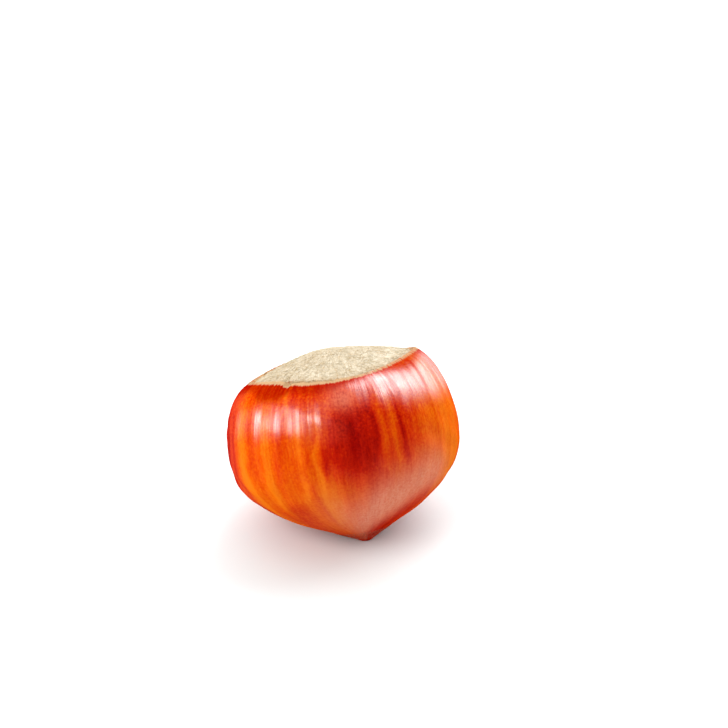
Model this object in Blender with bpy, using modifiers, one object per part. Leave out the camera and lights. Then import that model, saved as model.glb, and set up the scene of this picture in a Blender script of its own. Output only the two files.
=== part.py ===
"""A hazelnut in its shell, lying on its flank beside its point.

It is one grown piece: a hard ribbed shell that ends in a blunt point, and at the broad end the pale,
fibrous, slightly domed scar where the nut sat in its husk. The nut is turned about its own axis with
the point at the origin, given its relief by formulas, and then tipped until it lies as it does on a
table. A small flat spot on the flank takes its weight.

Metres, +Z up. The origin is the middle of the footprint, on the surface that the nut lies on. The
point looks towards -Y and the scar leans back towards +Y.
"""

import math

import bmesh
import bpy
import numpy as np
from mathutils import Matrix

# Driving dimensions of the nut, measured along its own axis from the point.
NUT_WIDTH = 0.0220
NUT_THICKNESS = 0.0212
GIRTH_HEIGHT = 0.00985
RIM_HEIGHT = 0.01695
RIM_WIDTH = 0.0163
SCAR_DOME = 0.0016

# The outline, in shares. The flank swells from the point as a power curve. The shoulder draws in above
# the girth, gently at first and then quickly into the rim.
FLANK_POWER = 2.3
SHOULDER_DRAW = 0.206
SHOULDER_POWER = 2.3
RIM_POWER = 10.0
DOME_POWER = 1.8

# The point is rounded and leans off the axis. It ends in a small nub, with a shallow hollow round it.
POINT_LEAN = (0.00080, -0.00020)
LEAN_POWER = 3.0
POINT_ROUNDING = 0.00006
NUB_LENGTH = 0.00020
NUB_SPREAD = 0.00090
HOLLOW_START = 0.00055
HOLLOW_DEPTH = 0.00028
HOLLOW_HEIGHT = 0.0015
HOLLOW_SPREAD = 0.0009

# The shell's edge stands round the scar as a thin lip, with a narrow furrow inside it.
LIP_WIDTH = 0.00030
LIP_HEIGHT = 0.00012
FURROW_WIDTH = 0.00050
FURROW_DEPTH = 0.00028

# Ribs run from the scar to the point and fade out at both ends: the crowding moves their highest stretch
# towards the scar and the fullness keeps them high for longer. Three broad lobes go round the nut.
RIB_COUNT = 34
RIB_HEIGHT = 0.00016
RIB_SPREAD = math.radians(3.4)
RIB_MEAN = 0.4
RIB_CROWDING = 0.8
RIB_FULLNESS = 0.6
RIB_SEED = 5
LOBE_SHARE = 0.007
LOBE_TURN = math.radians(-5)

# The rim is cut a little askew, it waves three times round, and it has one split. Each fade is a power:
# the higher it is, the sooner the unevenness dies away below the rim or inside it.
RIM_SKEW = (0.045, 0.017)
RIM_WAVE = 0.00030
RIM_WAVE_TURN = math.radians(207)
RIM_SPLIT_TURN = math.radians(222)
RIM_SPLIT_DEPTH = 0.00040
RIM_SPLIT_SPREAD = math.radians(2.6)
RIM_FADE = 3.0
RIM_SPLIT_FADE = 12.0
SCAR_FADE = 1.5

# Fibres run out over the scar from its middle, and are highest outside half way.
FIBRE_COUNT = 40
FIBRE_HEIGHT = 0.00009
FIBRE_SPREAD = math.radians(2.4)
FIBRE_MEAN = 0.4
FIBRE_CROWDING = 1.3
FIBRE_SEED = 9

# How it lies, and how deep the flat spot is cut.
REST_TILT = math.radians(24.9)
FLAT_SPOT_DEPTH = 0.00028

# Fineness of the solid, and of the curve that its evenly spaced rings are measured along.
SEGMENTS = 120
SHELL_RINGS = 30
SCAR_RINGS = 9
CURVE_SAMPLES = 400
SHARP_EDGE = math.radians(50)

SHELL_COLOUR = (0.56, 0.13, 0.02)
SCAR_COLOUR = (0.80, 0.64, 0.43)

HALF_WIDTH = NUT_WIDTH / 2
LIP_INSIDE = RIM_WIDTH / 2 - LIP_WIDTH
SCAR_EDGE = LIP_INSIDE - FURROW_WIDTH


def clear_scene():
    for old in list(bpy.data.objects):
        bpy.data.objects.remove(old)


def plain_material(name, colour, roughness):
    material = bpy.data.materials.new(name)
    material.use_nodes = True
    shader = material.node_tree.nodes["Principled BSDF"]
    shader.inputs["Base Color"].default_value = (*colour, 1)
    shader.inputs["Roughness"].default_value = roughness
    shader.inputs["Metallic"].default_value = 0.0
    return material


def shell_radius(height):
    """The outline's radius at each height above the point."""
    rounded = np.sqrt(height * (height + 2 * POINT_ROUNDING))
    below = np.clip(rounded / GIRTH_HEIGHT, 0, 1)
    above = np.clip((height - GIRTH_HEIGHT) / (RIM_HEIGHT - GIRTH_HEIGHT), 0, 1)
    rim_draw = 1 - RIM_WIDTH / NUT_WIDTH - SHOULDER_DRAW
    flank = 1 - (1 - below) ** FLANK_POWER
    shoulder = SHOULDER_DRAW * above**SHOULDER_POWER + rim_draw * above**RIM_POWER
    radius = HALF_WIDTH * (flank - shoulder)
    hollow = HOLLOW_DEPTH * np.exp(-(((height - HOLLOW_HEIGHT) / HOLLOW_SPREAD) ** 2))
    return radius - hollow * radius / (radius + HOLLOW_START)


def shell_outline():
    """(radius, height) pairs from the rim down to just above the point, evenly spaced along the curve."""
    height = RIM_HEIGHT * (1 - np.linspace(0, 1, CURVE_SAMPLES) ** 2)
    radius = shell_radius(height)
    walked = np.concatenate([[0], np.cumsum(np.hypot(np.diff(radius), np.diff(height)))])
    stops = np.linspace(0, walked[-1], SHELL_RINGS + 1)[:-1]
    return list(zip(np.interp(stops, walked, radius), np.interp(stops, walked, height)))


def nut_outline():
    """(radius, height) from the top of the scar, over the rim and down the outer side to the point."""
    dome = []
    for ring in range(SCAR_RINGS):
        share = ring / SCAR_RINGS
        dome.append((SCAR_EDGE * share, RIM_HEIGHT + SCAR_DOME * (1 - share**DOME_POWER)))
    furrow = [
        (SCAR_EDGE, RIM_HEIGHT),
        (SCAR_EDGE + FURROW_WIDTH / 2, RIM_HEIGHT - FURROW_DEPTH),
        (LIP_INSIDE, RIM_HEIGHT + LIP_HEIGHT / 2),
        (LIP_INSIDE + LIP_WIDTH / 2, RIM_HEIGHT + LIP_HEIGHT),
    ]
    return dome + furrow + shell_outline() + [(0, 0)]


def turned_nut(outline):
    """The outline turned about the nut's own axis, as one closed mesh."""
    mesh = bpy.data.meshes.new("outline")
    points = [(radius, 0, height) for radius, height in outline]
    mesh.from_pydata(points, [(i, i + 1) for i in range(len(points) - 1)], [])
    guide = bpy.data.objects.new("outline", mesh)
    bpy.context.scene.collection.objects.link(guide)
    turn = guide.modifiers.new("Turn", "SCREW")
    turn.angle = math.tau
    turn.steps = turn.render_steps = SEGMENTS
    turn.use_merge_vertices = True
    turn.merge_threshold = 1e-6
    bpy.context.view_layer.update()
    graph = bpy.context.evaluated_depsgraph_get()
    turned = bpy.data.meshes.new_from_object(guide.evaluated_get(graph))
    bpy.data.objects.remove(guide)
    return turned


def turn_from(angle, middle):
    """How far each angle is from the middle one, between half a turn back and half a turn on."""
    return np.angle(np.exp(1j * (angle - middle)))


def ridges(angle, count, spread, seed):
    """Ridges round the nut at uneven angles, each with its own height from 0.3 to 1."""
    draw = np.random.default_rng(seed)
    total = np.zeros_like(angle)
    for index in range(count):
        middle = (index + draw.uniform(-0.3, 0.3)) * math.tau / count
        height = draw.uniform(0.3, 1.0)
        total += height * np.exp(-((turn_from(angle, middle) / spread) ** 2))
    return total


def rim_rise(angle):
    """How far the rim stands above or below its plain height at each angle."""
    skew = RIM_WIDTH / 2 * (RIM_SKEW[0] * np.cos(angle) + RIM_SKEW[1] * np.sin(angle))
    wave = RIM_WAVE * np.cos(3 * turn_from(angle, RIM_WAVE_TURN))
    return skew + wave


def add_relief(mesh):
    """Moves the turned vertices to give the lobes, ribs, leaning point, uneven rim and scar fibres."""
    places = np.zeros(len(mesh.vertices) * 3)
    mesh.vertices.foreach_get("co", places)
    x, y, height = places.reshape(-1, 3).T
    radius = np.hypot(x, y)
    angle = np.arctan2(y, x)
    up_the_shell = np.clip(height / RIM_HEIGHT, 0, 1)
    above_girth = np.clip((height - GIRTH_HEIGHT) / (RIM_HEIGHT - GIRTH_HEIGHT), 0, 1)
    on_scar = (height > RIM_HEIGHT - 2 * FURROW_DEPTH) & (radius < LIP_INSIDE)

    rib_share = np.sin(math.pi * up_the_shell**RIB_CROWDING) ** RIB_FULLNESS
    ribs = RIB_HEIGHT * rib_share * (ridges(angle, RIB_COUNT, RIB_SPREAD, RIB_SEED) - RIB_MEAN)
    lobes = LOBE_SHARE * radius * np.cos(3 * turn_from(angle, LOBE_TURN))
    grown = radius + lobes + np.where(on_scar, 0, ribs)

    out_to_rim = np.clip(radius / LIP_INSIDE, 0, 1)
    rise = rim_rise(angle) * above_girth**RIM_FADE * np.where(on_scar, out_to_rim**SCAR_FADE, 1)
    split = RIM_SPLIT_DEPTH * np.exp(-((turn_from(angle, RIM_SPLIT_TURN) / RIM_SPLIT_SPREAD) ** 2))
    split *= above_girth**RIM_SPLIT_FADE * ~on_scar
    out_over_scar = np.clip(radius / SCAR_EDGE, 0, 1)
    fibres = FIBRE_HEIGHT * (ridges(angle, FIBRE_COUNT, FIBRE_SPREAD, FIBRE_SEED) - FIBRE_MEAN)
    fibres *= np.where(on_scar, np.sin(math.pi * out_over_scar**FIBRE_CROWDING), 0)
    nub = NUB_LENGTH * np.exp(-((radius / NUB_SPREAD) ** 2)) * (above_girth == 0)

    lean = np.clip(1 - height / GIRTH_HEIGHT, 0, 1) ** LEAN_POWER
    moved_x = grown * np.cos(angle) + POINT_LEAN[0] * lean
    moved_y = grown * np.sin(angle) * NUT_THICKNESS / NUT_WIDTH + POINT_LEAN[1] * lean
    moved = np.stack([moved_x, moved_y, height + rise - split + fibres - nub], axis=1)
    mesh.vertices.foreach_set("co", moved.ravel())


def paint(mesh):
    """The faces inside the shell's lip are the scar's, and the rest are the shell's."""
    mesh.materials.append(plain_material("nutshell", SHELL_COLOUR, 0.35))
    mesh.materials.append(plain_material("scar", SCAR_COLOUR, 0.85))
    for face in mesh.polygons:
        inside_lip = face.center.xy.length < LIP_INSIDE
        if inside_lip and face.center.z > RIM_HEIGHT - 2 * FURROW_DEPTH:
            face.material_index = 1


def lay_down(mesh):
    """Tips the nut onto its flank, cuts the flat spot, and sets the origin in the footprint's middle."""
    mesh.transform(Matrix.Rotation(-REST_TILT, 4, "X"))
    shape = bmesh.new()
    shape.from_mesh(mesh)
    lowest = min(vertex.co.z for vertex in shape.verts)
    bmesh.ops.translate(shape, verts=shape.verts, vec=(0, 0, -lowest - FLAT_SPOT_DEPTH))
    bmesh.ops.bisect_plane(
        shape,
        geom=shape.verts[:] + shape.edges[:] + shape.faces[:],
        plane_co=(0, 0, 0),
        plane_no=(0, 0, -1),
        clear_outer=True,
    )
    cut_edges = [edge for edge in shape.edges if edge.is_boundary]
    bmesh.ops.holes_fill(shape, edges=cut_edges, sides=0)
    bmesh.ops.recalc_face_normals(shape, faces=shape.faces)
    for axis in (0, 1):
        places = [vertex.co[axis] for vertex in shape.verts]
        middle = (min(places) + max(places)) / 2
        for vertex in shape.verts:
            vertex.co[axis] -= middle
    shape.to_mesh(mesh)
    shape.free()


def build():
    clear_scene()
    mesh = turned_nut(nut_outline())
    paint(mesh)
    add_relief(mesh)
    lay_down(mesh)
    mesh.shade_smooth()
    mesh.set_sharp_from_angle(angle=SHARP_EDGE)
    nut = bpy.data.objects.new("hazelnut", mesh)
    collection = bpy.data.collections.new("hazelnut")
    bpy.context.scene.collection.children.link(collection)
    collection.objects.link(nut)


build()
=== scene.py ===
"""The looks of a hazelnut in its shell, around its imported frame. Metres, +Z up."""

import math

import bpy
import numpy as np
from mathutils import Matrix, Vector


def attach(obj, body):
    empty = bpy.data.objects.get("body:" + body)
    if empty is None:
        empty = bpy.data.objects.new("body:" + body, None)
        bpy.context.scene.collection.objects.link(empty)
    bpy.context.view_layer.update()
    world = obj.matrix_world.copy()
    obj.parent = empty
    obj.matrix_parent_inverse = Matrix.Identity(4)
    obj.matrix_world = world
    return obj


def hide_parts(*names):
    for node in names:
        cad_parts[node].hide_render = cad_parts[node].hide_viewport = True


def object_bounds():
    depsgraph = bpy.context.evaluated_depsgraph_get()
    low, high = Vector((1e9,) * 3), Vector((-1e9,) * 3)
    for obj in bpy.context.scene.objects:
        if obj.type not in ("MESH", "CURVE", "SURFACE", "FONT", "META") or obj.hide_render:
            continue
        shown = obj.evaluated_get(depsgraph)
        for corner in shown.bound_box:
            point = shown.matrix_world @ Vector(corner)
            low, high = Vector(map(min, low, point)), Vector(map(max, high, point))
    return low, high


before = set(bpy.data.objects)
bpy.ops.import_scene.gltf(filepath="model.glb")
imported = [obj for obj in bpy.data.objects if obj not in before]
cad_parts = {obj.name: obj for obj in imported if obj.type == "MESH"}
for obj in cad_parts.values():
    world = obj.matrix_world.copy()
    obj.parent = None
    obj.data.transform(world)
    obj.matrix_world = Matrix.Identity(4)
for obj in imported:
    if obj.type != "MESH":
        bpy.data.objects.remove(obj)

cad_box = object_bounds()


# The whole nut: a hard woody shell, ribbed from its point to the scar where it sat in its husk, grown as
# one piece with that fibrous scar. It is turned from one outline, raised by formulas into ribs, grooves
# and fibres, and laid on its flank exactly as the plain solid lies.

NUT_WIDTH = 0.0220
NUT_THICKNESS = 0.0212
GIRTH_HEIGHT = 0.00985
RIM_HEIGHT = 0.01695
RIM_WIDTH = 0.0163
SCAR_DOME = 0.0016
FLANK_POWER = 2.3
SHOULDER_DRAW = 0.206
SHOULDER_POWER = 2.3
RIM_POWER = 10.0
DOME_POWER = 1.8

POINT_LEAN = (0.00080, -0.00020)
LEAN_POWER = 3.0
POINT_ROUNDING = 0.00006
NUB_LENGTH = 0.00020
NUB_SPREAD = 0.00090
HOLLOW_START = 0.00055
HOLLOW_DEPTH = 0.00028
HOLLOW_HEIGHT = 0.0015
HOLLOW_SPREAD = 0.0009

LIP_WIDTH = 0.00030
LIP_HEIGHT = 0.00012
FURROW_WIDTH = 0.00050
FURROW_DEPTH = 0.00028
LIP_INSIDE = RIM_WIDTH / 2 - LIP_WIDTH
SCAR_EDGE = LIP_INSIDE - FURROW_WIDTH

RIB_COUNT = 34
RIB_HEIGHT = 0.00016
RIB_SPREAD = math.radians(3.4)
RIB_MEAN = 0.4
LOBE_SHARE = 0.007
LOBE_TURN = math.radians(-5)
GROOVE_COUNT = 150
GROOVE_DEPTH = 0.000012
GROOVE_SPREAD = math.radians(0.8)
DENT_DEPTH = 0.00004
SMOOTH_TURN = math.radians(305)
SMOOTH_SPREAD = math.radians(34)
SMOOTH_HEIGHT = 0.0125
SMOOTH_FADE = 0.0008
SMOOTHED = 0.7

RIM_SKEW = (0.045, 0.017)
RIM_WAVE = 0.00030
RIM_WAVE_TURN = math.radians(207)
RIM_SPLIT_TURN = math.radians(222)
RIM_SPLIT_DEPTH = 0.00040
RIM_SPLIT_SPREAD = math.radians(2.6)
RIM_CHIPS = 170
CHIP_DEPTH = 0.00007
CHIP_SPREAD = math.radians(0.7)

FIBRE_COUNT = 40
FIBRE_HEIGHT = 0.00009
FIBRE_SPREAD = math.radians(2.4)
FIBRE_MEAN = 0.4
FINE_FIBRE_COUNT = 190
FINE_FIBRE_HEIGHT = 0.000035
FINE_FIBRE_SPREAD = math.radians(0.6)

REST_TILT = math.radians(24.9)
FLAT_SPOT_DEPTH = 0.00028

RIB_START_POWER = 0.8
RIB_FULLNESS = 0.6
FLAT_TOP = 4
GROOVE_WANDER = 0.012
WANDER_RATE = 900
GROOVE_MEAN = 0.6
GROOVE_CHANGE = 0.5
DRIFT_RATE = 1000
FURROW_DRIFT = 0.00004
RIM_RISE_POWER = 3
SCAR_RISE_POWER = 1.5
SPLIT_REACH_POWER = 12
FIBRE_BEND = 0.03
BEND_RATE = 1500
FELT_HEIGHT = 0.00003
FELT_RATE = 4000
FIBRE_MIDDLE_POWER = 1.3
FINE_FIBRE_POWER = 0.5
RIDGE_STRAY = 0.3
LOWEST_RIDGE = 0.3

SEGMENTS = 560
DOME_RINGS = 36
EDGE_RINGS = 14
SHELL_RINGS = 108
RING_CROWDING = 1.15
OUTLINE_SAMPLES = 1500
SEED_FACE = 0.001
WELD = 4e-7


def shell_radius(height):
    """The outline's radius at each height above the point."""
    rounded = np.sqrt(height * (height + 2 * POINT_ROUNDING))
    below = np.clip(rounded / GIRTH_HEIGHT, 0, 1)
    above = np.clip((height - GIRTH_HEIGHT) / (RIM_HEIGHT - GIRTH_HEIGHT), 0, 1)
    rim_draw = 1 - RIM_WIDTH / NUT_WIDTH - SHOULDER_DRAW
    flank = 1 - (1 - below) ** FLANK_POWER
    shoulder = SHOULDER_DRAW * above**SHOULDER_POWER + rim_draw * above**RIM_POWER
    radius = NUT_WIDTH / 2 * (flank - shoulder)
    hollow = HOLLOW_DEPTH * np.exp(-(((height - HOLLOW_HEIGHT) / HOLLOW_SPREAD) ** 2))
    return radius - hollow * radius / (radius + HOLLOW_START)


fine_heights = RIM_HEIGHT * (1 - np.linspace(0, 1, OUTLINE_SAMPLES) ** 2)
fine_radii = shell_radius(fine_heights)
walked = np.concatenate([[0], np.cumsum(np.hypot(np.diff(fine_radii), np.diff(fine_heights)))])
shell_length = walked[-1]


def nut_outline():
    """(radius, height) from the top of the scar, over the lip and down the outer side to the point."""
    dome = []
    for ring in range(DOME_RINGS):
        share = ring / DOME_RINGS
        dome.append((SCAR_EDGE * share, RIM_HEIGHT + SCAR_DOME * (1 - share**DOME_POWER)))
    knots_out = [
        SCAR_EDGE,
        SCAR_EDGE + FURROW_WIDTH / 2,
        LIP_INSIDE,
        LIP_INSIDE + LIP_WIDTH / 2,
        RIM_WIDTH / 2,
    ]
    knots_up = [0, -FURROW_DEPTH, LIP_HEIGHT / 2, LIP_HEIGHT, 0]
    out = np.linspace(SCAR_EDGE, RIM_WIDTH / 2, EDGE_RINGS + 1)[:-1]
    edge = [(r, RIM_HEIGHT + up) for r, up in zip(out, np.interp(out, knots_out, knots_up))]
    stops = shell_length * np.linspace(0, 1, SHELL_RINGS + 1)[:-1] ** RING_CROWDING
    shell = zip(np.interp(stops, walked, fine_radii), np.interp(stops, walked, fine_heights))
    return dome + edge + list(shell) + [(0, 0)]


def turned(name, outline, segments):
    """An object turned about Z from an outline that is extruded vertex by vertex."""
    bpy.ops.object.select_all(action="DESELECT")
    start = (outline[0][0], 0, outline[0][1])
    bpy.ops.mesh.primitive_plane_add(size=SEED_FACE, location=start)
    piece = bpy.context.object
    piece.name = name
    bpy.ops.object.transform_apply(location=True, rotation=True, scale=True)
    bpy.ops.object.mode_set(mode="EDIT")
    bpy.ops.mesh.select_all(action="SELECT")
    bpy.ops.mesh.merge(type="CENTER")
    for (radius, height), (next_radius, next_height) in zip(outline, outline[1:]):
        step = (next_radius - radius, 0, next_height - height)
        bpy.ops.mesh.extrude_region_move(TRANSFORM_OT_translate={"value": step})
    bpy.ops.object.mode_set(mode="OBJECT")
    turning = piece.modifiers.new("Turn", "SCREW")
    turning.steps = turning.render_steps = segments
    turning.use_merge_vertices = True
    turning.merge_threshold = WELD
    bpy.ops.object.modifier_apply(modifier="Turn")
    bpy.ops.object.mode_set(mode="EDIT")
    bpy.ops.mesh.select_all(action="SELECT")
    bpy.ops.mesh.remove_doubles(threshold=WELD)
    bpy.ops.mesh.normals_make_consistent(inside=False)
    bpy.ops.object.mode_set(mode="OBJECT")
    return piece


def turn_from(angle, middle):
    """How far each angle is from the middle one, between half a turn back and half a turn on."""
    return np.angle(np.exp(1j * (angle - middle)))


def ridges(angle, count, spread, seed):
    """Ridges round the nut at uneven angles, each with its own height up to 1."""
    draw = np.random.default_rng(seed)
    total = np.zeros_like(angle)
    for index in range(count):
        middle = (index + draw.uniform(-RIDGE_STRAY, RIDGE_STRAY)) * math.tau / count
        height = draw.uniform(LOWEST_RIDGE, 1.0)
        total += height * np.exp(-((turn_from(angle, middle) / spread) ** 2))
    return total


def drift(angle, along, seed, turns=(2, 9), waves=3.0, terms=14):
    """A slow uneven change round the nut and along it, from about -1 to 1."""
    draw = np.random.default_rng(seed)
    total = np.zeros_like(angle)
    for _ in range(terms):
        times = draw.integers(*turns)
        slant = draw.uniform(-waves, waves)
        total += np.cos(times * angle + slant * along + draw.uniform(0, math.tau))
    return total / math.sqrt(terms / 2)


def rim_rise(angle):
    """How far the rim stands above or below its plain height at each angle."""
    skew = RIM_WIDTH / 2 * (RIM_SKEW[0] * np.cos(angle) + RIM_SKEW[1] * np.sin(angle))
    wave = RIM_WAVE * np.cos(3 * turn_from(angle, RIM_WAVE_TURN))
    return skew + wave


def read_points(mesh):
    """A mesh's points as rows of x, y and z."""
    places = np.zeros(len(mesh.vertices) * 3)
    mesh.vertices.foreach_get("co", places)
    return places.reshape(-1, 3)


def write_points(mesh, points):
    """Puts rows of x, y and z back into a mesh."""
    mesh.vertices.foreach_set("co", np.ascontiguousarray(points).ravel())
    mesh.update()


def raised(radius, angle, height, on_scar):
    """The place of each turned point once the nut's relief is on it, in the nut's own upright frame."""
    up_the_shell = np.clip(height / RIM_HEIGHT, 0, 1)
    above_girth = np.clip((height - GIRTH_HEIGHT) / (RIM_HEIGHT - GIRTH_HEIGHT), 0, 1)
    out_to_rim = np.clip(radius / LIP_INSIDE, 0, 1)
    out_over_scar = np.clip(radius / SCAR_EDGE, 0, 1)
    in_furrow = (radius > SCAR_EDGE) & on_scar

    rib_share = np.sin(math.pi * up_the_shell**RIB_START_POWER) ** RIB_FULLNESS
    smooth_side = np.exp(-((turn_from(angle, SMOOTH_TURN) / SMOOTH_SPREAD) ** FLAT_TOP))
    rib_share *= 1 - SMOOTHED * smooth_side / (1 + np.exp((SMOOTH_HEIGHT - height) / SMOOTH_FADE))
    ribs = RIB_HEIGHT * rib_share * (ridges(angle, RIB_COUNT, RIB_SPREAD, seed=5) - RIB_MEAN)
    lobes = LOBE_SHARE * radius * np.cos(3 * turn_from(angle, LOBE_TURN))
    wander = angle + GROOVE_WANDER * drift(angle, height * WANDER_RATE, seed=21, turns=(3, 12))
    grooves = ridges(wander, GROOVE_COUNT, GROOVE_SPREAD, seed=31)
    grooves *= GROOVE_MEAN + GROOVE_CHANGE * drift(angle, height * DRIFT_RATE, seed=33)
    dents = DENT_DEPTH * drift(angle, height * DRIFT_RATE, seed=41, turns=(3, 16))
    fine = np.where(on_scar, 0, ribs - GROOVE_DEPTH * rib_share * grooves + dents * rib_share)
    uneven = FURROW_DRIFT * drift(angle, 0 * angle, seed=51, turns=(3, 30))
    furrow_drift = np.where(in_furrow, uneven, 0)
    grown = radius + lobes + fine + furrow_drift

    follow = np.where(on_scar, out_to_rim**SCAR_RISE_POWER, 1)
    rise = rim_rise(angle) * above_girth**RIM_RISE_POWER * follow
    split = RIM_SPLIT_DEPTH * np.exp(-((turn_from(angle, RIM_SPLIT_TURN) / RIM_SPLIT_SPREAD) ** 2))
    chips = CHIP_DEPTH * ridges(angle, RIM_CHIPS, CHIP_SPREAD, seed=61)
    split = (split + chips) * above_girth**SPLIT_REACH_POWER * ~on_scar
    fibres = FIBRE_HEIGHT * (ridges(angle, FIBRE_COUNT, FIBRE_SPREAD, seed=9) - FIBRE_MEAN)
    bent = angle + FIBRE_BEND * drift(angle, radius * BEND_RATE, seed=71, turns=(4, 18))
    fine_fibres = FINE_FIBRE_HEIGHT * ridges(bent, FINE_FIBRE_COUNT, FINE_FIBRE_SPREAD, seed=73)
    felt = FELT_HEIGHT * drift(angle, radius * FELT_RATE, seed=75, turns=(9, 60))
    over_scar = np.sin(math.pi * out_over_scar**FIBRE_MIDDLE_POWER)
    fine_wool = (fine_fibres + felt) * out_over_scar**FINE_FIBRE_POWER
    woolly = np.where(on_scar, fibres * over_scar + fine_wool, 0)

    lean = np.clip(1 - height / GIRTH_HEIGHT, 0, 1) ** LEAN_POWER
    x = grown * np.cos(angle) + POINT_LEAN[0] * lean
    y = grown * np.sin(angle) * NUT_THICKNESS / NUT_WIDTH + POINT_LEAN[1] * lean
    nub = NUB_LENGTH * np.exp(-((radius / NUB_SPREAD) ** 2)) * (above_girth == 0)
    return np.stack([x, y, height + rise - split + woolly - nub], axis=1)


nut = turned("nut", nut_outline(), SEGMENTS)
points = read_points(nut.data)
nut_radius = np.hypot(points[:, 0], points[:, 1])
nut_angle = np.arctan2(points[:, 1], points[:, 0])
nut_height = points[:, 2].copy()
on_scar = (nut_height > RIM_HEIGHT - 2 * FURROW_DEPTH) & (nut_radius < LIP_INSIDE)
upright = raised(nut_radius, nut_angle, nut_height, on_scar)

lay_down = np.array(Matrix.Rotation(-REST_TILT, 3, "X"))
lying = upright @ lay_down.T
low, high = lying.min(axis=0), lying.max(axis=0)
shift = np.array([-(low[0] + high[0]) / 2, -(low[1] + high[1]) / 2, -low[2] - FLAT_SPOT_DEPTH])
lying += shift
lying[:, 2] = np.maximum(lying[:, 2], 0)
write_points(nut.data, lying)


# The shell's colour: orange brown as it grew, in streaks that run from the scar to the point, with dark
# red brown where it ripened most, a red band under the rim and a pale matt bloom towards the point.
# Painted light and shade are mixed in: a painted reflection of the table on the lower right flank, a
# painted reflection under the rim, a painted sheen on the left edge, painted shade at the point, along
# the lower edges and on the left edge, and painted light low on the shell.

FRONT_STREAKS = [
    # turn in degrees, highest and lowest reach in mm above the point, half width in degrees, tone
    (259, 13.8, 7.8, 11.0, -0.33),
    (247, 13.5, 10.5, 2.0, -0.12),
    (246, 7.8, 2.0, 5.0, 0.20),
    (240, 11.5, 6.0, 1.8, 0.12),
    (248, 11.5, 8.5, 5.0, -0.10),
    (243.2, 12.5, 8.0, 0.9, -0.14),
    (269, 15.2, 9.0, 1.6, -0.16),
    (274, 15.6, 9.0, 1.7, 0.17),
    (279, 14.8, 7.5, 1.8, 0.19),
    (283, 13.4, 8.6, 1.5, -0.26),
    (288, 13.0, 9.5, 2.0, -0.08),
    (305, 14.0, 7.0, 11.0, 0.20),
    (332, 15.0, 5.0, 9.0, 0.22),
    (195, 15.0, 5.0, 4.0, 0.26),
    (203, 14.0, 4.0, 2.0, -0.05),
    (212, 15.0, 4.0, 3.0, 0.25),
    (220, 15.0, 6.0, 2.2, -0.12),
    (224.5, 17.0, 14.3, 1.3, 0.24),
    (229, 16.8, 14.2, 2.0, -0.26),
    (232, 13.5, 4.0, 2.6, 0.12),
    (235.5, 13.5, 3.5, 1.3, -0.10),
    (240.5, 13.5, 4.0, 2.8, 0.14),
    (245, 12.0, 7.0, 1.4, -0.08),
    (238, 14.0, 10.5, 7.0, 0.12),
    # painted shade: darker along the lower left edge, next to the table
    (216, 5.6, 0.5, 14.0, -0.28),
    (270, 7.5, 2.0, 8.0, -0.05),
]
BROAD_TONES = [
    # turn in degrees, half width in degrees, tone
    (192, 8, 0.13),
    # painted shade: a little darker along the left edge
    (180, 6, -0.06),
    (215, 28, 0.20),
    (305, 24, 0.10),
    (319, 9, 0.25),
    (20, 30, 0.02),
    (62, 16, -0.18),
    (105, 22, -0.04),
    (150, 14, -0.14),
]
POLISHED_PATCHES = [
    # turn and half width in degrees, highest and lowest mm, fall of the lower edge, share of full gloss;
    # a share above 1 stays glossy where the wax is thin
    (224, 23, 15.0, 12.8, 0, 0.24),
    (207.5, 3.0, 14.6, 12.8, 0, 1.05),
    (216, 5.5, 14.3, 12.8, 0, 0.58),
    (221, 1.8, 14.5, 12.7, 0, 0.72),
    (235, 9, 14.3, 12.9, 0, 0.42),
    (228, 1.4, 14.2, 12.8, 0, 0.58),
    (232, 1.2, 14.5, 12.7, 0, 0.66),
    (235.5, 1.2, 14.2, 12.9, 0, 0.56),
    (238.5, 1.1, 14.6, 12.8, 0, 0.64),
    (242.5, 1.4, 14.5, 12.9, 0, 0.74),
    (193, 7, 14.4, 12.6, 0, 0.30),
    (300, 43, 20.0, 13.7, 0.052, 0.92),
    (283, 9, 16.6, 14.6, 0, 1.4),
    (290, 3.0, 15.8, 13.9, 0, 0.85),
    (267, 3.5, 16.4, 15.1, 0, 1.3),
    (20, 26, 20.0, 12.8, 0, 0.45),
    (75, 24, 20.0, 13.2, 0, 0.35),
    (135, 28, 20.0, 12.4, 0, 0.30),
]
MEAN_TONE = 0.50
STREAK_CROOK = 0.02
STREAK_CROOK_RATE = 0.5
STREAK_SEED = 300
STREAK_TOP_FADE_MM = 0.35
STREAK_FOOT_FADE_MM = 0.7
# painted light: the shell is lighter below 8 mm, for the light the table throws up onto it
LOWER_PAINTED_LIGHT = 0.16
LOWER_TOP_MM = 8.0
LOWER_FADE_MM = 0.8

HIDDEN_STREAKS = 60
HIDDEN_TURNS = (-22, 184)
HIDDEN_TOPS_MM = (11, 16.5)
HIDDEN_FEET_MM = (1, 8)
HIDDEN_SPREADS = (1.2, 4)
HIDDEN_TONES = (-0.16, 0.13)

BAND_REACH_MM = 1.15
BAND_DRIFT_MM = 0.30
BAND_CHANGES = [
    # turn and half width in degrees, how much further down the band reaches there in mm
    (302, 42, -0.34),
    (212, 12, 1.15),
]
BAND_TEETH = 90
BAND_TOOTH_SPREAD = math.radians(1.1)
BAND_TOOTH_MM = 0.25
BAND_FADE_MM = 0.22
BAND_PALE_SIDE = (302, 30)
BAND_PALED = 0.5

# The pale zone is partly real bloom, all round low on the shell, and partly a painted reflection of the
# white table on the lower right flank, which faces it.
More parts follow.
